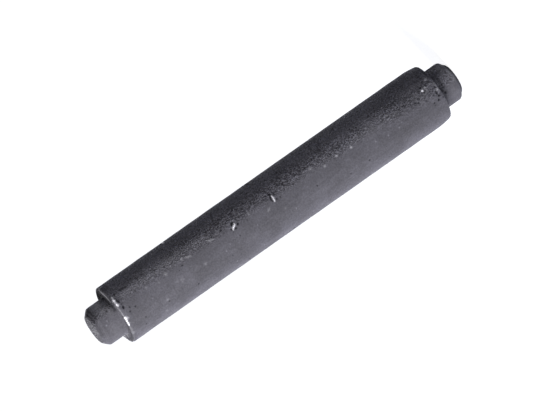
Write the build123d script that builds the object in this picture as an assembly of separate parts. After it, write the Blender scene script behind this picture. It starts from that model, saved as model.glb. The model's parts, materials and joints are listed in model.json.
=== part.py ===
from build123d import *
import os

# Axle pin, turned in one piece from 6 mm steel bar. Millimetres, +Z up.
# It stands on the flat end of its lower journal, and the origin is the centre of that face.

# Bar
BARREL_DIAMETER = 6.0        # the plain length that a wheel, roller or lever turns on
BARREL_LENGTH = 36.8         # from shoulder to shoulder
JOURNAL_DIAMETER = 4.0       # the reduced ends, which sit in the holes of a frame
UPPER_JOURNAL_LENGTH = 2.4   # from the shoulder to the end face, chamfer included
LOWER_JOURNAL_LENGTH = 2.2

# Journal ends
END_CHAMFER = 0.55           # 45 degree lead-in on both journals
UPPER_END_ROUNDING = 0.25    # both edges of the upper chamfer, softened by tumbling
LOWER_END_ROUNDING = 0.45    # the lower chamfer came out rounder
ROOT_RADIUS = 0.12           # left by the nose of the tool where journal and shoulder meet

# Barrel ends
UPPER_RIM_RADIUS = 0.14      # the upper edge of the barrel is almost sharp
LOWER_RIM_RADIUS = 0.32      # the lower edge is rolled over
RUN_OFF_LENGTH = 1.3         # the barrel falls away over this length before its lower edge
RUN_OFF_DEPTH = 0.18
RUN_OFF_BLEND = 6.0          # the large radius that leads from the straight barrel into the run-off
ROUNDING_SHARE = 0.4         # the most of a shoulder's width that its root or its rim may take

barrel_radius = BARREL_DIAMETER / 2
journal_radius = JOURNAL_DIAMETER / 2
end_face_radius = journal_radius - END_CHAMFER
lower_rim_radius = barrel_radius - RUN_OFF_DEPTH

lower_shoulder = LOWER_JOURNAL_LENGTH
upper_shoulder = lower_shoulder + BARREL_LENGTH
top = upper_shoulder + UPPER_JOURNAL_LENGTH

# Both roundings of a shoulder are limited by its width, so that some of it stays flat.
upper_limit = (barrel_radius - journal_radius) * ROUNDING_SHARE
lower_limit = (lower_rim_radius - journal_radius) * ROUNDING_SHARE


def half_section():
    """The pin's outline on one side of its axis: x is the radius and y the height."""
    corners = [
        # radius, height, rounding of the corner
        (end_face_radius, 0, LOWER_END_ROUNDING),
        (journal_radius, END_CHAMFER, LOWER_END_ROUNDING),
        (journal_radius, lower_shoulder, min(ROOT_RADIUS, lower_limit)),
        (lower_rim_radius, lower_shoulder, min(LOWER_RIM_RADIUS, lower_limit)),
        (barrel_radius, lower_shoulder + RUN_OFF_LENGTH, RUN_OFF_BLEND),
        (barrel_radius, upper_shoulder, min(UPPER_RIM_RADIUS, upper_limit)),
        (journal_radius, upper_shoulder, min(ROOT_RADIUS, upper_limit)),
        (journal_radius, top - END_CHAMFER, UPPER_END_ROUNDING),
        (end_face_radius, top, UPPER_END_ROUNDING),
    ]
    points = [(radius, height) for radius, height, rounding in corners]
    roundings = [rounding for radius, height, rounding in corners]
    with BuildSketch(Plane.XZ) as section:
        with BuildLine():
            FilletPolyline((0, 0), *points, (0, top), radius=roundings)
            Line((0, top), (0, 0))
        make_face()
    return section.sketch


def turned_pin():
    pin = revolve(half_section(), axis=Axis.Z)
    pin.label = "axle_pin"
    return pin


os.makedirs("parts", exist_ok=True)
pin = turned_pin()
export_step(pin, "parts/axle_pin.step")
print("overall length", round(top, 3), "mm, volume", round(pin.volume, 2), "mm3")
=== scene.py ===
import json
import math
import random

import bpy
import numpy as np
from mathutils import Matrix, Vector, noise


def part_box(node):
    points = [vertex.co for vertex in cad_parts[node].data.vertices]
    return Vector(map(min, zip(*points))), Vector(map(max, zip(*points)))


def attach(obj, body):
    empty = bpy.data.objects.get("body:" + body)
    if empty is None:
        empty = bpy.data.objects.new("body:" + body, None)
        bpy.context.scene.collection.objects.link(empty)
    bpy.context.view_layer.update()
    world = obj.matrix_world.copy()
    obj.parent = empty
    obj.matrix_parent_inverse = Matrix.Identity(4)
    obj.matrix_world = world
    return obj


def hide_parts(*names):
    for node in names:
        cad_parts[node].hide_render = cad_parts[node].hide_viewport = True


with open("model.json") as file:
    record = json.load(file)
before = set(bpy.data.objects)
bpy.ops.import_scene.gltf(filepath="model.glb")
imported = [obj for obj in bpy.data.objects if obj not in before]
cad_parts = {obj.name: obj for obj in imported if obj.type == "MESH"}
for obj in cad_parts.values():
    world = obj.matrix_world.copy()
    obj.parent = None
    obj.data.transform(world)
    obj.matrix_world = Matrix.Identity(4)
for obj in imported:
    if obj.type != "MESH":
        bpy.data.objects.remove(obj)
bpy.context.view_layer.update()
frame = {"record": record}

# A turned steel axle pin that stands on its lower end. It is drawn in millimetres and brought to metres last.

MM = 0.001
low, high = (Vector(corner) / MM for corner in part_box("axle_pin"))
pin_middle = (low + high) / 2

# ---------------------------------------------------------------------------------------------
# Camera: far off with a long lens, above and in front, rolled so that the pin lies across the view.
# ---------------------------------------------------------------------------------------------
VIEW_WIDTH = 49.29                   # mm of the pin's own plane that the camera takes in
CAMERA_DISTANCE = 1500.0             # mm from the middle of the pin
CAMERA_ELEVATION = math.radians(12.4)
PIN_SLANT = math.radians(35.08)      # how far the pin's axis is turned from level in the view
PIN_OFFSET = (0.556, 0.232)          # mm, right and up, from the middle of the view to the pin's middle
SENSOR_WIDTH = 36.0                  # mm
NEAREST, FARTHEST = 0.05, 10.0       # m from the camera, what it can see


def place_camera():
    """Its own axes are right, up and backwards, and it looks at aim."""
    sin_e, cos_e = math.sin(CAMERA_ELEVATION), math.cos(CAMERA_ELEVATION)
    backwards = Vector((0, -cos_e, sin_e))
    level_right, level_up = Vector((1, 0, 0)), Vector((0, sin_e, cos_e))
    # the roll lays the pin across the view, with its upper end at the lower left
    roll_cos, roll_sin = math.cos(PIN_SLANT), math.sin(PIN_SLANT)
    right = -roll_sin * level_right - roll_cos * level_up
    up = roll_cos * level_right - roll_sin * level_up
    aim = pin_middle - PIN_OFFSET[0] * right - PIN_OFFSET[1] * up
    data = bpy.data.cameras.new("studio_camera")
    data.sensor_width = SENSOR_WIDTH
    data.lens = SENSOR_WIDTH * CAMERA_DISTANCE / VIEW_WIDTH
    data.clip_start, data.clip_end = NEAREST, FARTHEST
    camera = bpy.data.objects.new("studio_camera", data)
    camera.matrix_world = Matrix.LocRotScale((aim + backwards * CAMERA_DISTANCE) * MM,
                                             Matrix((right, up, backwards)).transposed(), None)
    bpy.context.scene.collection.objects.link(camera)
    bpy.context.scene.camera = camera
    bpy.context.scene.view_settings.view_transform = "Standard"


place_camera()


# ---------------------------------------------------------------------------------------------
# Small helpers
# ---------------------------------------------------------------------------------------------
def linear(hex_colour):
    """An sRGB hex colour as the linear RGBA that nodes take."""
    channels = [int(hex_colour[i:i + 2], 16) / 255 for i in (1, 3, 5)]
    return tuple(c / 12.92 if c <= 0.04045 else ((c + 0.055) / 1.055) ** 2.4 for c in channels) + (1,)


def add_node(tree, kind, settings=(), **inputs):
    """Adds one node. settings are its own properties; inputs are its sockets, by name or in_NUMBER,
    each given a value or the output that feeds it."""
    made = tree.nodes.new(kind)
    for name, value in dict(settings).items():
        setattr(made, name, value)
    for name, value in inputs.items():
        socket = made.inputs[int(name[3:])] if name.startswith("in_") else made.inputs[name.replace("_", " ")]
        if isinstance(value, bpy.types.NodeSocket):
            tree.links.new(value, socket)
        else:
            socket.default_value = value
    return made


def calculate(tree, operation, first, second):
    """The result of one sum, product or comparison."""
    return add_node(tree, "ShaderNodeMath", {"operation": operation}, in_0=first, in_1=second).outputs[0]


def remap(tree, value, old, new, way="LINEAR"):
    """The value, brought from the range old to the range new and held inside it."""
    return add_node(tree, "ShaderNodeMapRange", {"interpolation_type": way}, Value=value,
                    From_Min=old[0], From_Max=old[1], To_Min=new[0], To_Max=new[1]).outputs[0]


def noise_of_size(tree, place, size, detail, roughness):
    """A noise texture with lumps about size across, in the units of place."""
    return add_node(tree, "ShaderNodeTexNoise", Vector=place, Scale=1 / size, Detail=detail,
                    Roughness=roughness)


def blend_colours(tree, share, first, second):
    """The first colour, turned into the second where share is 1."""
    return add_node(tree, "ShaderNodeMix", {"data_type": "RGBA"}, in_0=share,
                    in_6=first, in_7=second).outputs[2]


def new_material(name):
    material = bpy.data.materials.new(name)
    material.use_nodes = True
    material.node_tree.nodes.clear()
    return material, material.node_tree


# ---------------------------------------------------------------------------------------------
# Stage: a pale floor that runs out into white, and soft lamps at a plain level.
# ---------------------------------------------------------------------------------------------
AMBIENT = 0.008                      # the level of the light from all round
FLOOR_SIZE = 3.0                     # m
FLOOR_GLOW = 0.88                    # lifts the floor towards white where it is seen directly
SUN_DISTANCE = 0.4                   # m from the origin to where the suns are kept, which changes no light


def seen_directly(tree):
    """1 for what the camera, a reflection or a transparent body sees, 0 for light on its way to a surface."""
    path = add_node(tree, "ShaderNodeLightPath")
    both = calculate(tree, "MAXIMUM", path.outputs["Is Camera Ray"], path.outputs["Is Glossy Ray"])
    return calculate(tree, "MAXIMUM", both, path.outputs["Is Transmission Ray"])


def white_world():
    world = bpy.data.worlds.new("white_studio")
    world.use_nodes = True
    tree = world.node_tree
    tree.nodes.clear()
    dim = add_node(tree, "ShaderNodeBackground", Color=linear("#FFFFFF"), Strength=AMBIENT)
    white = add_node(tree, "ShaderNodeBackground", Color=linear("#FFFFFF"), Strength=1.0)
    mixed = add_node(tree, "ShaderNodeMixShader", in_0=seen_directly(tree),
                     in_1=dim.outputs[0], in_2=white.outputs[0])
    add_node(tree, "ShaderNodeOutputWorld", Surface=mixed.outputs[0])
    return world


def matt_white_paper():
    """White paper, dead matt. It glows a little to the eye alone, so that it runs out into the white."""
    material, tree = new_material("matt_white_paper")
    diffuse = add_node(tree, "ShaderNodeBsdfDiffuse", Color=linear("#E2E5EC"))
    glow = add_node(tree, "ShaderNodeEmission", Color=linear("#FFFFFF"), Strength=FLOOR_GLOW)
    lifted = add_node(tree, "ShaderNodeAddShader", in_0=diffuse.outputs[0], in_1=glow.outputs[0])
    seen = add_node(tree, "ShaderNodeMixShader", in_0=seen_directly(tree),
                    in_1=diffuse.outputs[0], in_2=lifted.outputs[0])
    add_node(tree, "ShaderNodeOutputMaterial", Surface=seen.outputs[0])
    return material


def lay_floor():
    bpy.ops.object.select_all(action="DESELECT")
    bpy.ops.mesh.primitive_plane_add(size=FLOOR_SIZE, location=(0, 0, 0))
    floor = bpy.context.object
    floor.name = floor.data.name = "studio_floor"
    bpy.ops.object.transform_apply(location=True, rotation=True, scale=True)
    floor.data.materials.append(matt_white_paper())
    return floor


def add_sun(name, azimuth, elevation, strength, spread, colour):
    """A soft lamp. azimuth is from the camera's side towards -X, and spread is how wide it is, in degrees."""
    a, e = math.radians(azimuth), math.radians(elevation)
    lamp = bpy.data.lights.new(name, "SUN")
    lamp.energy, lamp.angle, lamp.color = strength, math.radians(spread), linear(colour)[:3]
    holder = bpy.data.objects.new(name, lamp)
    towards = Vector((-math.sin(a) * math.cos(e), -math.cos(a) * math.cos(e), math.sin(e)))
    holder.rotation_euler = towards.to_track_quat("Z", "Y").to_euler()
    holder.location = towards * SUN_DISTANCE
    bpy.context.scene.collection.objects.link(holder)


def add_softbox(name, azimuth, distance, height, width, power):
    """A small round softbox close to the pin, aimed at its middle. Distance, height and width are in
    millimetres."""
    a = math.radians(azimuth)
    lamp = bpy.data.lights.new(name, "AREA")
    lamp.shape, lamp.size, lamp.energy = "DISK", width * MM, power
    holder = bpy.data.objects.new(name, lamp)
    place = Vector((-math.sin(a) * distance, -math.cos(a) * distance, height))
    holder.rotation_euler = (place - pin_middle).to_track_quat("Z", "Y").to_euler()
    holder.location = place * MM
    holder.visible_camera = False
    bpy.context.scene.collection.objects.link(holder)


bpy.context.scene.world = white_world()
lay_floor()
add_sun("key_lamp", azimuth=55, elevation=10, strength=2.62, spread=12, colour="#FAFCFF")
add_sun("edge_lamp", azimuth=128, elevation=10, strength=0.95, spread=20, colour="#BCC8FF")
add_sun("far_lamp", azimuth=185, elevation=4, strength=1.2, spread=30, colour="#F8FAFF")
add_softbox("front_softbox", azimuth=34, distance=60, height=65, width=30, power=0.0274)
add_sun("back_lamp", azimuth=-125, elevation=10, strength=0.68, spread=25, colour="#F2F5FF")

# ---------------------------------------------------------------------------------------------
# The turned pin
# ---------------------------------------------------------------------------------------------
mounts = {mount["name"]: mount for mount in frame["record"]["mounts"]}
BARREL_RADIUS = mounts["barrel"]["dims"]["r_mm"]
JOURNAL_RADIUS = mounts["upper_journal"]["dims"]["r_mm"]
LOWER_SHOULDER = mounts["lower_shoulder"]["pos_m"][2] / MM
UPPER_SHOULDER = mounts["upper_shoulder"]["pos_m"][2] / MM
TOP = high.z
END_CHAMFER = 0.55
LOWER_END_ROUNDING, UPPER_END_ROUNDING = 0.45, 0.25      # of both edges of each chamfer
ROOT_RADIUS = 0.12
LOWER_RIM_RADIUS, UPPER_RIM_RADIUS = 0.32, 0.14
RUN_OFF_LENGTH, RUN_OFF_DEPTH = 1.3, 0.18
RUN_OFF_BLEND = 6.0
MERIDIANS = 144                      # steps of the spin
ROW = 0.13                           # mm, the longest step along the section
ROW_SLACK = 1.01                     # a step this much longer is left as it is
SAME_PLACE = 1e-4                    # mm, under which two points are the same
WELD = 0.0005                        # mm, under which the spin's first and last points are joined

# The half section's corners: radius, height, rounding of the corner and the steps in that rounding.
SECTION = [
    (0, 0, 0, 0),
    (JOURNAL_RADIUS - END_CHAMFER, 0, LOWER_END_ROUNDING, 5),
    (JOURNAL_RADIUS, END_CHAMFER, LOWER_END_ROUNDING, 5),
    (JOURNAL_RADIUS, LOWER_SHOULDER, ROOT_RADIUS, 4),
    (BARREL_RADIUS - RUN_OFF_DEPTH, LOWER_SHOULDER, LOWER_RIM_RADIUS, 6),
    (BARREL_RADIUS, LOWER_SHOULDER + RUN_OFF_LENGTH, RUN_OFF_BLEND, 8),
    (BARREL_RADIUS, UPPER_SHOULDER, UPPER_RIM_RADIUS, 5),
    (JOURNAL_RADIUS, UPPER_SHOULDER, ROOT_RADIUS, 4),
    (JOURNAL_RADIUS, TOP - END_CHAMFER, UPPER_END_ROUNDING, 4),
    (JOURNAL_RADIUS - END_CHAMFER, TOP, UPPER_END_ROUNDING, 4),
    (0, TOP, 0, 0),
]


def select_vertices(piece, wanted):
    """Selects the vertices that wanted(place) is true of, and nothing else, and goes into edit mode."""
    bpy.ops.object.mode_set(mode="EDIT")
    bpy.ops.mesh.select_mode(type="VERT")
    bpy.ops.mesh.select_all(action="DESELECT")
    bpy.ops.object.mode_set(mode="OBJECT")
    for vertex in piece.data.vertices:
        vertex.select = wanted(vertex.co)
    bpy.ops.object.mode_set(mode="EDIT")


def draw_section():
    """The section's corners, joined by straight edges from the lower end of the axis to the upper one."""
    bpy.ops.object.select_all(action="DESELECT")
    bpy.ops.mesh.primitive_plane_add(size=0.1, location=(0, 0, 0))
    piece = bpy.context.object
    piece.name = piece.data.name = "turned_pin"
    bpy.ops.object.mode_set(mode="EDIT")
    bpy.ops.mesh.select_all(action="SELECT")
    bpy.ops.mesh.merge(type="CENTER")
    here = Vector((0, 0, 0))
    for radius, height, _, _ in SECTION[1:]:
        there = Vector((radius, 0, height))
        bpy.ops.mesh.extrude_region_move(TRANSFORM_OT_translate={"value": there - here})
        here = there
    return piece


def round_corners(piece):
    """Rounds each corner of the section, from the tangent length of its radius."""
    for before, corner, after in zip(SECTION, SECTION[1:-1], SECTION[2:]):
        place = Vector((corner[0], 0, corner[1]))
        legs = [Vector((other[0], 0, other[1])) - place for other in (before, after)]
        tangent = corner[2] / math.tan(legs[0].angle(legs[1]) / 2)
        select_vertices(piece, lambda co: (co - place).length < SAME_PLACE)
        bpy.ops.mesh.bevel(offset=tangent, segments=corner[3], affect="VERTICES", offset_type="OFFSET",
                           clamp_overlap=False)
    bpy.ops.object.mode_set(mode="OBJECT")


def divide_runs(piece):
    """Divides the section's long runs into rows, the longest first."""
    while True:
        mesh = piece.data
        longest = max(mesh.edges, key=lambda e: (mesh.vertices[e.vertices[0]].co
                                                 - mesh.vertices[e.vertices[1]].co).length)
        a, b = (mesh.vertices[i].co.copy() for i in longest.vertices)
        if (a - b).length <= ROW * ROW_SLACK:
            return
        select_vertices(piece, lambda co: min((co - a).length, (co - b).length) < SAME_PLACE)
        bpy.ops.mesh.subdivide(number_cuts=math.ceil((a - b).length / ROW) - 1)
        bpy.ops.object.mode_set(mode="OBJECT")


def turn_pin():
    """The half section, spun round the axis into a closed skin."""
    piece = draw_section()
    round_corners(piece)
    divide_runs(piece)
    bpy.ops.object.mode_set(mode="EDIT")
    bpy.ops.mesh.select_all(action="SELECT")
    bpy.ops.mesh.spin(steps=MERIDIANS, angle=2 * math.pi, center=(0, 0, 0), axis=(0, 0, 1))
    bpy.ops.mesh.select_all(action="SELECT")
    bpy.ops.mesh.remove_doubles(threshold=WELD)
    bpy.ops.mesh.normals_make_consistent(inside=False)
    bpy.ops.object.mode_set(mode="OBJECT")
    return piece


# ---------------------------------------------------------------------------------------------
# Places on the pin, and the marks that wear has left on it
# ---------------------------------------------------------------------------------------------
JUST_INSIDE = 0.05                   # mm, from the faces that meet in a rim to the middle of its rounding
UPPER_RIM = (UPPER_SHOULDER - JUST_INSIDE, BARREL_RADIUS - JUST_INSIDE)      # height, radius
LOWER_RIM = (LOWER_SHOULDER + 0.12, BARREL_RADIUS - RUN_OFF_DEPTH - 0.1)
LOWER_ROOT = (LOWER_SHOULDER - ROOT_RADIUS, JOURNAL_RADIUS)
UPPER_ROOT = (UPPER_SHOULDER + 0.06, JOURNAL_RADIUS + 0.04)
ARC_STEP = 4                         # degrees between the points of a path round the pin


def on_pin(angle, height, radius=None):
    """A point on the pin, on its barrel if no radius is given. The angle is in degrees, from the camera's
    side towards -X, and the rest is in millimetres."""
    a = math.radians(angle)
    if radius is None:
        radius = np.interp(height, (LOWER_SHOULDER, LOWER_SHOULDER + RUN_OFF_LENGTH),
                           (BARREL_RADIUS - RUN_OFF_DEPTH, BARREL_RADIUS))
    return (-radius * math.sin(a), -radius * math.cos(a), height)


def spot(angle, height, radius=None):
    """A path of one point."""
    return [on_pin(angle, height, radius)]


def line(*places):
    """A path over the barrel, through places that are each an angle and a height."""
    return [on_pin(*place) for place in places]


def along(angles, height, radius=None):
    """A path round the pin at one height, from one angle to the other."""
    steps = max(2, math.ceil(abs(angles[1] - angles[0]) / ARC_STEP))
    return [on_pin(a, height, radius) for a in np.linspace(*angles, steps)]


# A mark is its path, its half width and how far it stands out, in millimetres, and how far it is brightened
# and darkened, from 0 to 1. Brightening is bare steel in some marks and painted light in others; darkening is
# dirt in some and painted shade in others.
def raised(path, half_width, lift, bare_and_painted_light):
    return path, half_width, lift, bare_and_painted_light, 0


def sunk(path, half_width, depth, darkness):
    return path, half_width, -depth, 0, darkness


def wear_and_painted_light(path, half_width, bare_and_painted_light):
    return path, half_width, 0, bare_and_painted_light, 0


def dirt_and_shade_mark(path, half_width, darkness):
    return path, half_width, 0, 0, darkness


# A gouge with a torn, S-shaped lip and pits beside it.
GOUGE = [
    raised(line((-11.8, 25.50), (-10.2, 25.52), (-7.8, 25.66), (-6.0, 25.83), (-3.4, 25.92)),
           0.082, 0.05, 1.0),
    sunk(line((-11.5, 25.83), (-13.7, 25.73), (-15.8, 25.57)), 0.09, 0.06, 1.0),
    sunk(line((-8.8, 25.21), (-6.6, 25.26)), 0.105, 0.07, 1.0),
    sunk(spot(-2.8, 25.62), 0.105, 0.06, 1.0),
    sunk(spot(-5.9, 26.05), 0.09, 0.05, 1.0),
    sunk(spot(-0.4, 26.02), 0.08, 0.03, 0.5),
]

# A short cut that runs round the pin, with its edge raised on one side.
SHORT_CUT = [
    raised(line((-14.0, 21.12), (-9.5, 21.14), (-6.0, 21.16), (-2.0, 21.18)), 0.08, 0.035, 0.92),
    sunk(line((-14.0, 21.33), (-9.3, 21.35), (-5.0, 21.33)), 0.09, 0.05, 0.9),
    sunk(line((-20.2, 21.26), (-17.5, 21.20)), 0.10, 0.05, 1.0),
    sunk(spot(-14.5, 20.86), 0.09, 0.03, 0.8),
    sunk(spot(-4.2, 20.90), 0.09, 0.04, 0.8),
]

# Small bruises along the barrel, worn bright on their tops. The first lies among pits.
BRUISES = [
    raised(spot(-12.3, 3.83), 0.097, 0.03, 1.0),
    raised(spot(-14.3, 3.45), 0.13, 0.02, 0.44),
    sunk(spot(-10.6, 3.58), 0.08, 0.04, 0.8),
    sunk(spot(-19.3, 3.82), 0.11, 0.06, 1.0),
    sunk(spot(-7.8, 3.78), 0.10, 0.05, 1.0),
    raised(spot(-13.5, 7.98), 0.11, 0.02, 0.34),
    sunk(spot(-11.3, 8.02), 0.09, 0.04, 1.0),
    raised(spot(-3.2, 12.40), 0.125, 0.015, 0.46),
    raised(spot(-5.7, 13.97), 0.115, 0.015, 0.44),
    raised(spot(-2.6, 15.44), 0.125, 0.015, 0.34),
    raised(spot(-13.6, 16.66), 0.13, 0.015, 0.44),
    raised(spot(18.1, 20.69), 0.10, 0.01, 0.12),
    raised(line((2.1, 21.96), (5.5, 22.24)), 0.10, 0.01, 0.20),
    raised(spot(-10.8, 23.86), 0.16, 0.01, 0.14),
    raised(line((-14.2, 28.51), (-10.0, 27.98)), 0.12, 0.015, 0.26),
    raised(spot(17.4, 29.85), 0.11, 0.015, 0.22),
    raised(line((-12.8, 31.14), (-8.6, 30.57)), 0.12, 0.015, 0.24),
    raised(spot(-13.5, 31.46), 0.13, 0.015, 0.32),
    raised(line((17.6, 32.34), (16.0, 32.6)), 0.16, 0.01, 0.10),
    raised(spot(15.0, 32.95), 0.13, 0.01, 0.08),
    raised(spot(20.5, 32.55), 0.10, 0.01, 0.10),
    raised(spot(-8.0, 33.48), 0.16, 0.02, 0.27),
    raised(spot(-3.0, 34.47), 0.11, 0.01, 0.14),
    raised(spot(32.4, 34.61), 0.13, 0.015, 0.16),
    raised(spot(52.0, 35.11), 0.11, 0.01, 0.17),
    raised(spot(-8.3, 35.71), 0.13, 0.01, 0.16),
]

# Pits with dirt in them, mostly below the upper rim.
PITS = [
    sunk(spot(35.1, 27.22), 0.08, 0.03, 0.5),
    sunk(line((-11.0, 38.46), (-7.5, 38.49)), 0.08, 0.03, 0.5),
    sunk(line((-4.8, 38.50), (-1.6, 38.55)), 0.125, 0.06, 1.0),
    sunk(line((-23.5, 38.62), (-14.0, 38.54)), 0.10, 0.04, 0.9),
    sunk(spot(3.3, 38.02), 0.085, 0.03, 0.7),
    sunk(spot(9.8, 38.22), 0.085, 0.03, 0.75),
    sunk(spot(8.3, 37.53), 0.08, 0.02, 0.4),
    sunk(line((-34, 37.8), (-32, 37.0)), 0.12, 0.02, 0.5),
    sunk(line((-36, 35.3), (-30, 35.05)), 0.10, 0.02, 0.35),
    sunk(line((-30.5, 34.4), (-25.5, 33.95)), 0.12, 0.02, 0.5),
]

# The upper rim, peened over and rubbed bright in uneven runs, with painted highlights along its edge and a
# painted strip of light across the shoulder, on the side away from the key lamp.
UPPER_RIM_WEAR_AND_PAINTED_LIGHT = [
    raised(along((-31, -25), UPPER_SHOULDER - 0.20), 0.09, 0.01, 0.5),
    raised(along((-24, -19), UPPER_SHOULDER - 0.14), 0.13, 0.02, 1.0),
    raised(along((-19, -16), UPPER_SHOULDER - 0.14), 0.10, 0.01, 0.7),
    raised(along((-15, -10), UPPER_SHOULDER - 0.15), 0.13, 0.02, 1.0),
    raised(along((-12, 11), *UPPER_RIM), 0.08, 0.01, 0.32),
    raised(along((14.2, 18.2), *UPPER_RIM), 0.25, 0.03, 1.0),
    raised(along((19.5, 23), *UPPER_RIM), 0.10, 0.03, 0.9),
    raised(along((23, 30), *UPPER_RIM), 0.125, 0.03, 1.0),
    raised(along((33, 46), *UPPER_RIM), 0.16, 0.01, 0.22),
    raised(along((46, 52), *UPPER_RIM), 0.22, 0.01, 0.25),
    wear_and_painted_light(along((52, 78), *UPPER_RIM), 0.08, 0.12),
    # a painted highlight along the rim's edge, on the side away from the key lamp
    wear_and_painted_light(along((-80, -68), *UPPER_RIM), 0.09, 0.22),
    # the shoulder made darker just inside the rim there
    dirt_and_shade_mark(along((-66, -28), UPPER_SHOULDER, BARREL_RADIUS - 0.18), 0.11, 0.7),
    # a painted highlight just below the rim's edge there
    wear_and_painted_light(line((-70, 38.85), (-72, 38.65)), 0.13, 0.22),
    # a painted strip of light across the shoulder, where the journal's shadow ends, and a pit in it
    wear_and_painted_light([on_pin(angle, UPPER_SHOULDER, radius) for angle, radius in
            ((-76, 2.80), (-69, 2.60), (-55, 2.49), (-40, 2.44), (-33, 2.27))], 0.10, 0.42),
    sunk(along((9, 12), UPPER_SHOULDER, BARREL_RADIUS - 0.32), 0.10, 0.05, 0.8),
]

# The lower rim, sunk all round, with bruises and pits near it.
LOWER_RIM_WEAR = [
    sunk(along((-180, 180), LOWER_SHOULDER + 0.03, BARREL_RADIUS - RUN_OFF_DEPTH - 0.2), 0.28, 0.11, 0),
    wear_and_painted_light(line((-17.0, 2.92), (-12.0, 2.90)), 0.12, 0.14),
    raised(spot(0.4, 2.56), 0.15, 0.02, 0.42),
    raised(line((-14.5, 2.50), (-8.5, 2.52)), 0.13, 0.02, 0.20),
    wear_and_painted_light(along((-4, 9), LOWER_RIM[0] + 0.1, LOWER_RIM[1] + 0.08), 0.12, 0.22),
    sunk(line((-6.4, 2.62), (-5.0, 2.66)), 0.10, 0.05, 0.9),
    sunk(spot(5.4, 2.82), 0.11, 0.06, 1.0),
    sunk(spot(12.0, 2.76), 0.105, 0.06, 1.0),
    sunk(line((17.0, 2.98), (19.0, 3.03)), 0.10, 0.05, 1.0),
    sunk(spot(-20.8, 2.97), 0.08, 0.03, 0.4),
    raised(spot(-27.5, 2.89), 0.14, 0.02, 0.34),
    sunk(spot(-5.4, 4.61), 0.09, 0.04, 1.0),
    sunk(spot(-2.0, 5.08), 0.10, 0.05, 1.0),
    sunk(spot(1.4, 4.77), 0.10, 0.05, 1.0),
    sunk(spot(6.2, 4.09), 0.08, 0.03, 0.7),
    sunk(spot(-16.2, 4.22), 0.09, 0.04, 0.6),
    raised(line((-10.5, 3.32), (-8.0, 3.55), (-4.5, 3.92)), 0.15, 0.01, 0.13),
    sunk(spot(-17.9, 3.28), 0.10, 0.04, 0.9),
    sunk(line((7.0, 2.38), (9.5, 2.40)), 0.10, 0.04, 1.0),
    sunk(spot(19.0, 2.42), 0.09, 0.04, 0.7),
]

# The lower chamfer, rolled rounder.
LOWER_CHAMFER_WEAR = [
    sunk(along((-180, 180), 0.20, JOURNAL_RADIUS - 0.36), 0.32, 0.08, 0),
]

# Painted light and shade on the coat: it is made paler in patches and darker in bands, where the lamps leave
# parts of the barrel and journals too dark or too bright.
PAINTED_LIGHT_AND_SHADE = [
    wear_and_painted_light(line((-22, 37.90), (-24, 34.92), (-24, 31.44), (-21, 28.46)), 0.50, 0.075),
    wear_and_painted_light(along((-62, -32), TOP - 1.3, JOURNAL_RADIUS), 0.62, 0.17),
    wear_and_painted_light(along((25, 50), TOP - 1.3, JOURNAL_RADIUS), 0.65, 0.035),
    wear_and_painted_light(along((-42, -14), TOP - 1.75, JOURNAL_RADIUS), 0.42, 0.10),
    wear_and_painted_light(along((-27, 2), 0.40, JOURNAL_RADIUS - 0.10), 0.34, 0.20),
    wear_and_painted_light(along((-52, -22), 0.95, JOURNAL_RADIUS), 0.40, 0.07),
    wear_and_painted_light(along((-14, 40), 1.0, JOURNAL_RADIUS), 0.65, 0.035),
    wear_and_painted_light(along((-8, 2), 4.6), 0.6, 0.05),
    wear_and_painted_light(line((-10, 20.3), (-9, 17), (-9, 10.5)), 0.45, 0.03),
    wear_and_painted_light(line((-11, 13.04), (-8, 10.06), (-6, 7.08)), 0.42, 0.055),
    dirt_and_shade_mark(line((-33, 8.07), (-27, 4.8), (-26, 3.2)), 0.90, 0.20),
    dirt_and_shade_mark(line((-52, 6.0), (-48, 3.0)), 1.10, 0.17),
    dirt_and_shade_mark(line((50, 37.90), (51, 20.00)), 0.90, 0.09),
]

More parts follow.
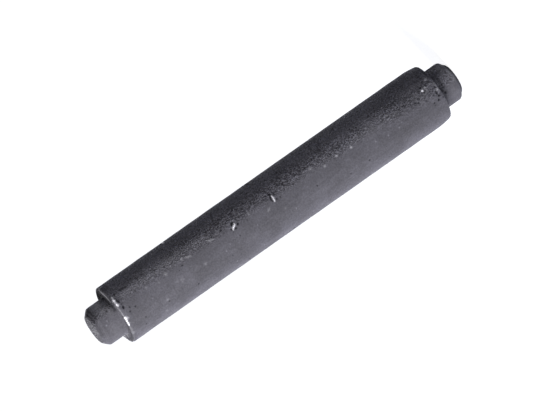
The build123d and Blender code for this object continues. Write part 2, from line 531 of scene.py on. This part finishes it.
# Darker marks: oily dirt on the end face, and painted shade on the far sides of the chamfers, in the roots
# under the shoulders, and on the upper shoulder where the journal shades it.
DIRT_AND_PAINTED_SHADE = [
    # painted shade on the upper chamfer, on the side away from the key lamp
    dirt_and_shade_mark(along((-66, -20), TOP - 0.16, JOURNAL_RADIUS - 0.38), 0.08, 0.7),
    dirt_and_shade_mark(along((-72, -24), TOP - 0.42, JOURNAL_RADIUS - 0.12), 0.13, 0.75),
    dirt_and_shade_mark(along((-66, -30), TOP - 0.30, JOURNAL_RADIUS - 0.26), 0.16, 0.35),
    # painted shade in the upper root, and on the upper shoulder where the journal shades it
    dirt_and_shade_mark(along((-85, -12), *UPPER_ROOT), 0.22, 0.55),
    dirt_and_shade_mark(along((-140, -36), UPPER_SHOULDER, JOURNAL_RADIUS + 0.48), 0.50, 0.60),
    dirt_and_shade_mark(along((40, 110), UPPER_SHOULDER, BARREL_RADIUS - 0.25), 0.34, 0.38),
    dirt_and_shade_mark(along((-180, 180), TOP, JOURNAL_RADIUS - END_CHAMFER - 0.35), 0.60, 0.12),
    # painted shade in the lower root, under the barrel's overhang
    dirt_and_shade_mark(along((-180, -28), LOWER_SHOULDER - 0.27, JOURNAL_RADIUS), 0.31, 0.12),
    dirt_and_shade_mark(along((-28, 5), LOWER_SHOULDER - 0.22, JOURNAL_RADIUS), 0.36, 0.46),
    dirt_and_shade_mark(along((5, 20), LOWER_SHOULDER - 0.16, JOURNAL_RADIUS), 0.22, 0.55),
    dirt_and_shade_mark(along((3, 14), LOWER_SHOULDER - 0.12, JOURNAL_RADIUS), 0.15, 0.85),
    # the lower rim made darker on the side away from the key lamp
    dirt_and_shade_mark(along((-50, -26), LOWER_RIM[0] + 0.1, LOWER_RIM[1] + 0.06), 0.25, 0.40),
    # more painted shade in the lower root
    dirt_and_shade_mark(along((20, 36), LOWER_SHOULDER - 0.12, JOURNAL_RADIUS), 0.15, 0.55),
    # pits beside the lower root
    sunk(spot(-2.3, 1.79, JOURNAL_RADIUS), 0.09, 0.02, 1.0),
    sunk(spot(5.0, 1.79, JOURNAL_RADIUS), 0.09, 0.02, 1.0),
    sunk(spot(13.8, 2.0, JOURNAL_RADIUS), 0.09, 0.02, 1.0),
    sunk(spot(21.4, 1.90, JOURNAL_RADIUS), 0.15, 0.02, 1.0),
    sunk(spot(32.9, 2.06, JOURNAL_RADIUS), 0.08, 0.02, 0.8),
    # painted shade on the lower journal's far side, its chamfer and its root, and a painted dark outline
    # round the edge of its end face
    dirt_and_shade_mark([on_pin(-84, 0.5, JOURNAL_RADIUS), on_pin(-84, 2.0, JOURNAL_RADIUS)], 0.45, 0.6),
    dirt_and_shade_mark(along((-90, -35), 0.25, JOURNAL_RADIUS - 0.3), 0.20, 0.5),
    dirt_and_shade_mark(along((34, 60), *LOWER_ROOT), 0.10, 0.5),
    dirt_and_shade_mark(along((-180, 20), 0.08, JOURNAL_RADIUS - 0.46), 0.19, 0.52),
    dirt_and_shade_mark(along((20, 180), 0.08, JOURNAL_RADIUS - 0.46), 0.18, 0.55),
]

# Rings left by the turning tool.
TURNING_RINGS = [
    dirt_and_shade_mark(along((-180, 180), TOP, JOURNAL_RADIUS - END_CHAMFER - 0.05), 0.05, 0.30),
    sunk(along((-180, 180), TOP - 0.17, JOURNAL_RADIUS - 0.38), 0.05, 0.01, 0.22),
    raised(along((-20, 50), TOP - 0.39, JOURNAL_RADIUS - 0.16), 0.05, 0.006, 0.05),
    dirt_and_shade_mark(along((-180, 180), TOP - 0.62, JOURNAL_RADIUS), 0.06, 0.12),
]


def knocks_behind(seed):
    """Nicks, pits and rim wear on the sides that face away, of the same kinds and sizes as in front."""
    pick = random.Random(seed)
    marks = []
    for _ in range(16):
        place = (pick.uniform(72, 290), pick.uniform(4.5, 37.5))
        marks.append(raised(spot(*place), pick.uniform(0.09, 0.14), 0.015, pick.uniform(0.15, 0.35)))
    for _ in range(14):
        place = (pick.uniform(72, 290), pick.uniform(3.0, 38.5))
        marks.append(sunk(spot(*place), pick.uniform(0.08, 0.11), 0.04, pick.uniform(0.6, 1.0)))
    # short cuts, each with a raised edge just below it
    for _ in range(4):
        angle, height = pick.uniform(80, 280), pick.uniform(6, 36)
        turn, rise = pick.uniform(4, 9), pick.uniform(-0.4, 0.4)
        edge = line((angle, height), (angle + turn, height + rise))
        cut = line((angle + 1, height + 0.22), (angle + turn, height + rise + 0.2))
        marks.append(raised(edge, 0.08, 0.035, 0.8))
        marks.append(sunk(cut, 0.09, 0.05, 0.9))
    # the rims, worn in runs
    for _ in range(7):
        angle = pick.uniform(80, 262)
        run = along((angle, angle + pick.uniform(3, 22)), *UPPER_RIM)
        marks.append(raised(run, pick.uniform(0.06, 0.14), 0.02, pick.uniform(0.2, 0.9)))
    for _ in range(5):
        angle = pick.uniform(60, 290)
        run = along((angle, angle + pick.uniform(4, 16)), *LOWER_RIM)
        marks.append((run, pick.uniform(0.10, 0.15), -0.03, pick.uniform(0, 0.3), pick.uniform(0, 0.4)))
    return marks


MARKS = (GOUGE + SHORT_CUT + BRUISES + PITS + UPPER_RIM_WEAR_AND_PAINTED_LIGHT + LOWER_RIM_WEAR + LOWER_CHAMFER_WEAR
         + PAINTED_LIGHT_AND_SHADE + DIRT_AND_PAINTED_SHADE + TURNING_RINGS + knocks_behind(seed=5))
FINE_MARK = 0.25                     # mm: a raised or sunk mark of less half width gets a fine mesh
FINE_REACH = 1.6                     # how far that mesh goes, in half widths of the mark
FINE_MARGIN = 0.06                   # mm beyond that
ROUGH_GRAIN = 0.12                   # mm, the step in which the edge of a mark wanders
WANDER = 0.45                        # how much it wanders, as a share of the mark's width
STROKE_POINTS = 5                    # a path of at most so many points is a stroke with narrow ends
DARKENING_FILL = 1.3                      # a dark mark, dirt and painted shade alike, is at its full strength half way out to the mark's half width
STRAIGHT_FROM, STRAIGHT_TO = LOWER_SHOULDER + 1.8, UPPER_SHOULDER - 0.2      # the barrel's straight wall
FACE_MARGIN = 0.05                   # mm: up to this height the lower end stays flat, to stand on


def distance_to(points, path):
    """How far each point is from a path, and how far along the path its nearest point lies, from 0 to 1."""
    path = np.array(path, float)
    if len(path) == 1:
        return np.linalg.norm(points - path[0], axis=1), np.full(len(points), 0.5)
    nearest, share = np.full(len(points), np.inf), np.zeros(len(points))
    for i, (start, end) in enumerate(zip(path, path[1:])):
        run = end - start
        part = np.clip((points - start) @ run / (run @ run), 0, 1)
        away = np.linalg.norm(points - start - part[:, None] * run, axis=1)
        share = np.where(away < nearest, (i + part) / (len(path) - 1), share)
        nearest = np.minimum(nearest, away)
    return nearest, share


def read_vectors(elements, attribute):
    """One vector of each vertex or face, as rows."""
    values = np.empty(len(elements) * 3)
    elements.foreach_get(attribute, values)
    return values.reshape(-1, 3)


def write_attribute(piece, name, values):
    """Keeps one number for each vertex, for the material to read."""
    attribute = piece.data.attributes.new(name, "FLOAT", "POINT")
    attribute.data.foreach_set("value", values.astype(np.float32))


def refine_near(piece, marks, cuts):
    """Divides the faces that fine marks lie on, so that each mark has a fine mesh of its own."""
    bpy.ops.object.mode_set(mode="EDIT")
    bpy.ops.mesh.select_mode(type="FACE")
    bpy.ops.mesh.select_all(action="DESELECT")
    bpy.ops.object.mode_set(mode="OBJECT")
    centres = read_vectors(piece.data.polygons, "center")
    near = np.zeros(len(centres), bool)
    for path, half_width, lift, *_ in marks:
        if lift and half_width < FINE_MARK:
            near |= distance_to(centres, path)[0] < FINE_REACH * half_width + FINE_MARGIN
    piece.data.polygons.foreach_set("select", near)
    bpy.ops.object.mode_set(mode="EDIT")
    bpy.ops.mesh.subdivide(number_cuts=cuts, quadcorner="INNERVERT")
    bpy.ops.object.mode_set(mode="OBJECT")


def true_barrel(piece, tolerance=0.01):
    """Puts the vertices of the straight barrel back on their radius after a division."""
    places = read_vectors(piece.data.vertices, "co")
    radii = np.hypot(places[:, 0], places[:, 1])
    straight = (places[:, 2] > STRAIGHT_FROM) & (places[:, 2] < STRAIGHT_TO)
    straight &= np.abs(radii - BARREL_RADIUS) < tolerance
    places[straight, :2] *= (BARREL_RADIUS / radii[straight])[:, None]
    piece.data.vertices.foreach_set("co", places.ravel())
    piece.data.update()


def displace(piece, name, size, depth, group):
    """Moves the surface in and out by up to half of depth, in soft waves of about size. Both are in
    millimetres."""
    texture = bpy.data.textures.new(name, "CLOUDS")
    texture.noise_scale, texture.noise_depth = size, 1
    modifier = piece.modifiers.new(name, "DISPLACE")
    modifier.texture, modifier.strength, modifier.mid_level = texture, depth, 0.5
    modifier.vertex_group = group
    bpy.ops.object.modifier_apply(modifier=name)


def make_uneven(piece):
    """A turned surface is never quite true: it waves a little, and the coat on it is uneven."""
    above = piece.vertex_groups.new(name="above_end_face")
    above.add([v.index for v in piece.data.vertices if v.co.z > FACE_MARGIN], 1.0, "REPLACE")
    displace(piece, "barrel_waviness", 1.4, 0.03, above.name)
    displace(piece, "coat_unevenness", 0.45, 0.008, above.name)


def press_marks(piece, marks):
    """Raises and sinks the marks, and keeps two attributes: how far each place is brightened, by bare steel
    and by painted light, and how far it is darkened, by dirt and by painted shade.
    """
    places = read_vectors(piece.data.vertices, "co")
    normals = read_vectors(piece.data.vertices, "normal")
    wander = np.array([noise.noise(Vector(p) / ROUGH_GRAIN) for p in places])
    lift, bare_and_painted_light, dirt_and_shade = np.zeros(len(places)), np.zeros(len(places)), np.zeros(len(places))
    for path, half_width, height, bare_and_light_share, darkness_share in marks:
        away, share = distance_to(places, path)
        is_stroke = 1 < len(path) <= STROKE_POINTS
        width = half_width * (0.6 + 0.5 * np.sin(np.pi * share)) if is_stroke else half_width
        shape = np.exp(-(away * (1 + WANDER * wander) / width) ** 2)
        lift += shape * height
        bare_and_painted_light = np.maximum(bare_and_painted_light, shape * bare_and_light_share)
        dirt_and_shade = np.maximum(dirt_and_shade, np.minimum(1, DARKENING_FILL * shape) * darkness_share)
    places += normals * lift[:, None]
    piece.data.vertices.foreach_set("co", places.ravel())
    write_attribute(piece, "bare_steel_and_painted_light", bare_and_painted_light)
    write_attribute(piece, "dirt_and_painted_shade", dirt_and_shade)
    piece.data.update()


# The belt of pits along the barrel, laid where the key lamp's light grazes it, so that its dark and bright
# specks also paint the speckled shade and glints of raking light: the angle of its middle and its half width,
# both in degrees, at shares of the way from the lower shoulder to the upper one. It is wider on its far side,
# and patchy.
BELT_MIDDLE = ((0, 0.15, 0.4, 1), (-9, -16, -22, -30))
BELT_WIDTH = ((0, 0.15, 1), (19, 15, 15.5))
BELT_FAR_WIDTH = 1.5                 # the far half's width, against the near half's
FAR_SIDE_PITTING = 0.5
PITTING_PATCH = 3.0                  # mm


def mark_pits_and_raking_shade(piece):
    """How pitted the coat is, which also sets how much raking shade and glint is painted in specks: most in a
    belt along the barrel where the key lamp's light grazes it, a little on the far side, and hardly at all
    elsewhere."""
    places = read_vectors(piece.data.vertices, "co")
    angle = np.degrees(np.arctan2(-places[:, 0], -places[:, 1]))
    share = (places[:, 2] - LOWER_SHOULDER) / (UPPER_SHOULDER - LOWER_SHOULDER)
    middle = np.interp(share, *BELT_MIDDLE)
    width = np.interp(share, *BELT_WIDTH)
    belt = np.exp(-((angle - middle) / np.where(angle < middle, BELT_FAR_WIDTH, 1.0) / width) ** 2)
    far_side = np.clip((middle - angle) / 15, 0, 1) * np.clip((angle + 180) / 30, 0, 1)
    offset = Vector((7, 3, 1))
    patches = np.array([noise.fractal(Vector(p) / PITTING_PATCH + offset, 1.0, 2.0, 3) for p in places])
    pits_and_painted_raking_shade = np.maximum(belt, FAR_SIDE_PITTING * far_side) * (0.95 + 0.6 * patches)
    write_attribute(piece, "pits_and_painted_raking_shade", np.clip(pits_and_painted_raking_shade, 0, 1))


# ---------------------------------------------------------------------------------------------
# Its finish
# ---------------------------------------------------------------------------------------------
GRAIN = 0.15                         # mm, clusters of crystals; single ones, 0.01 mm, are too fine to show
SPECK = 0.14                         # mm, the crust of dark and bright specks where the coat is pitted, which along the belt also paint raking shade and glints
PIT_SPACING = 0.28                   # mm between pits in the coat
RAGGED = 0.16                        # mm, how far the grain pushes the pits' outlines about
CLOUDS = 1.8                         # mm, where the coat is thicker or thinner
STREAKS = (0.35, 0.35, 2.5)          # mm, faint marks along the axis, from rolling over other parts
RELIEF = 0.05                        # mm, how high the grain stands


def phosphate_blackened_steel():
    """Steel with a manganese phosphate coat, oiled: fine crystals that scatter the light, so it is a soft
    dark grey with hardly any shine, a little blue where it is thick, grainy to the touch, and bright where
    steel shows. Painted light makes it paler and shinier in places, and painted shade makes it darker, as
    dirt does."""
    material, tree = new_material("phosphate_blackened_steel")
    coordinates = add_node(tree, "ShaderNodeTexCoord")
    in_mm = add_node(tree, "ShaderNodeVectorMath", {"operation": "SCALE"},
                     in_0=coordinates.outputs["Object"], Scale=1 / MM).outputs[0]
    pits_and_painted_raking_shade = add_node(tree, "ShaderNodeAttribute", {"attribute_name": "pits_and_painted_raking_shade"}).outputs["Fac"]
    dirt_and_shade = add_node(tree, "ShaderNodeAttribute", {"attribute_name": "dirt_and_painted_shade"}).outputs["Fac"]
    bare_and_painted_light = add_node(tree, "ShaderNodeAttribute", {"attribute_name": "bare_steel_and_painted_light"}).outputs["Fac"]

    clouds = noise_of_size(tree, in_mm, CLOUDS, 3.0, 0.6)
    grain = noise_of_size(tree, in_mm, GRAIN, 2.0, 0.6)
    stretched = add_node(tree, "ShaderNodeVectorMath", {"operation": "DIVIDE"}, in_0=in_mm, in_1=STREAKS)
    streaks = noise_of_size(tree, stretched.outputs[0], 1.0, 2.0, 0.5)
    specks = noise_of_size(tree, in_mm, SPECK, 1.5, 0.6)
    # the pits' outlines are ragged, because the grain pushes their cells about
    pushed = add_node(tree, "ShaderNodeVectorMath", {"operation": "MULTIPLY_ADD"},
                      in_0=grain.outputs["Color"], in_1=(RAGGED, RAGGED, RAGGED), in_2=in_mm)
    cells = add_node(tree, "ShaderNodeTexVoronoi", Vector=pushed.outputs[0], Scale=1 / PIT_SPACING,
                     Randomness=1.0)
    chance = add_node(tree, "ShaderNodeSeparateColor", in_0=cells.outputs["Color"])

    # a share of the cells hold a pit with dirt in it, and as many hold a raised grain, rubbed brighter
    round_cell = remap(tree, cells.outputs["Distance"], (0.15, 0.55), (1.0, 0.0), "SMOOTHSTEP")
    # the share rises along the belt, so its dark and bright specks also paint the speckled shade and glints
    # of raking light there
    cell_share = remap(tree, pits_and_painted_raking_shade, (0.0, 1.0), (0.014, 0.28))
    is_sunk = calculate(tree, "LESS_THAN", chance.outputs[0], cell_share)
    is_raised = calculate(tree, "LESS_THAN", chance.outputs[1], cell_share)
    up_or_down = calculate(tree, "SUBTRACT", is_raised, is_sunk)
    pits = calculate(tree, "MULTIPLY", up_or_down, round_cell)
    crust = remap(tree, specks.outputs["Fac"], (0.38, 0.62), (-1.0, 1.0))
    crusted = calculate(tree, "MULTIPLY", crust, pits_and_painted_raking_shade)
    rough_spots = calculate(tree, "ADD", pits, crusted)
    relief = calculate(tree, "ADD", rough_spots, grain.outputs["Fac"])

    # the coat's colour: thinner and thicker clouds, mottled by the grain, the streaks and the pits
    tint = add_node(tree, "ShaderNodeValToRGB", Fac=clouds.outputs["Fac"])
    thin, thick = tint.color_ramp.elements
    thin.position, thick.position = 0.38, 0.62
    thin.color, thick.color = linear("#66646A"), linear("#6E6C73")
    mottle = remap(tree, grain.outputs["Fac"], (0.3, 0.7), (0.80, 1.20))
    streaked = remap(tree, streaks.outputs["Fac"], (0.3, 0.7), (0.93, 1.07))
    # the specks: pits with dirt and rubbed grains, and along the belt also painted raking shade and glints
    pit_tone = remap(tree, rough_spots, (-1.0, 1.0), (0.40, 1.65))
    level = calculate(tree, "MULTIPLY", mottle, streaked)
    toned = calculate(tree, "MULTIPLY", level, pit_tone)
    coat = add_node(tree, "ShaderNodeVectorMath", {"operation": "SCALE"}, in_0=tint.outputs["Color"],
                    Scale=toned)
    # the dark colour is dirt and painted shade; the pale metal colour below is bare steel and painted light
    darkened = blend_colours(tree, dirt_and_shade, coat.outputs[0], linear("#26262B"))
    colour = blend_colours(tree, bare_and_painted_light, darkened, linear("#D9D7DC"))

    # thick dirt and painted shade are dead matt, and bare steel and painted light are smoother than the coat
    matt = remap(tree, dirt_and_shade, (0.0, 0.6), (0.6, 1.0))
    roughness = add_node(tree, "ShaderNodeMix", {"data_type": "FLOAT"}, in_0=bare_and_painted_light, in_2=matt, in_3=0.38)
    bump = add_node(tree, "ShaderNodeBump", Height=relief, Strength=1.0, Distance=RELIEF * MM)
    shader = add_node(tree, "ShaderNodeBsdfPrincipled", Base_Color=colour, Roughness=roughness.outputs[0],
                      Metallic=bare_and_painted_light, Normal=bump.outputs["Normal"])
    shader.inputs["Diffuse Roughness"].default_value = 1.0
    shader.inputs["Specular IOR Level"].default_value = 0.05
    add_node(tree, "ShaderNodeOutputMaterial", Surface=shader.outputs[0])
    return material


def bring_to_metres(piece):
    bpy.ops.object.select_all(action="DESELECT")
    piece.select_set(True)
    bpy.context.view_layer.objects.active = piece
    piece.scale = (MM, MM, MM)
    bpy.ops.object.transform_apply(location=True, rotation=True, scale=True)


pin = turn_pin()
refine_near(pin, MARKS, cuts=2)
true_barrel(pin)
make_uneven(pin)
press_marks(pin, MARKS)
mark_pits_and_raking_shade(pin)
pin.data.materials.append(phosphate_blackened_steel())
bring_to_metres(pin)
bpy.ops.object.shade_smooth_by_angle(angle=math.radians(40))

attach(pin, "root")
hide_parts("axle_pin")
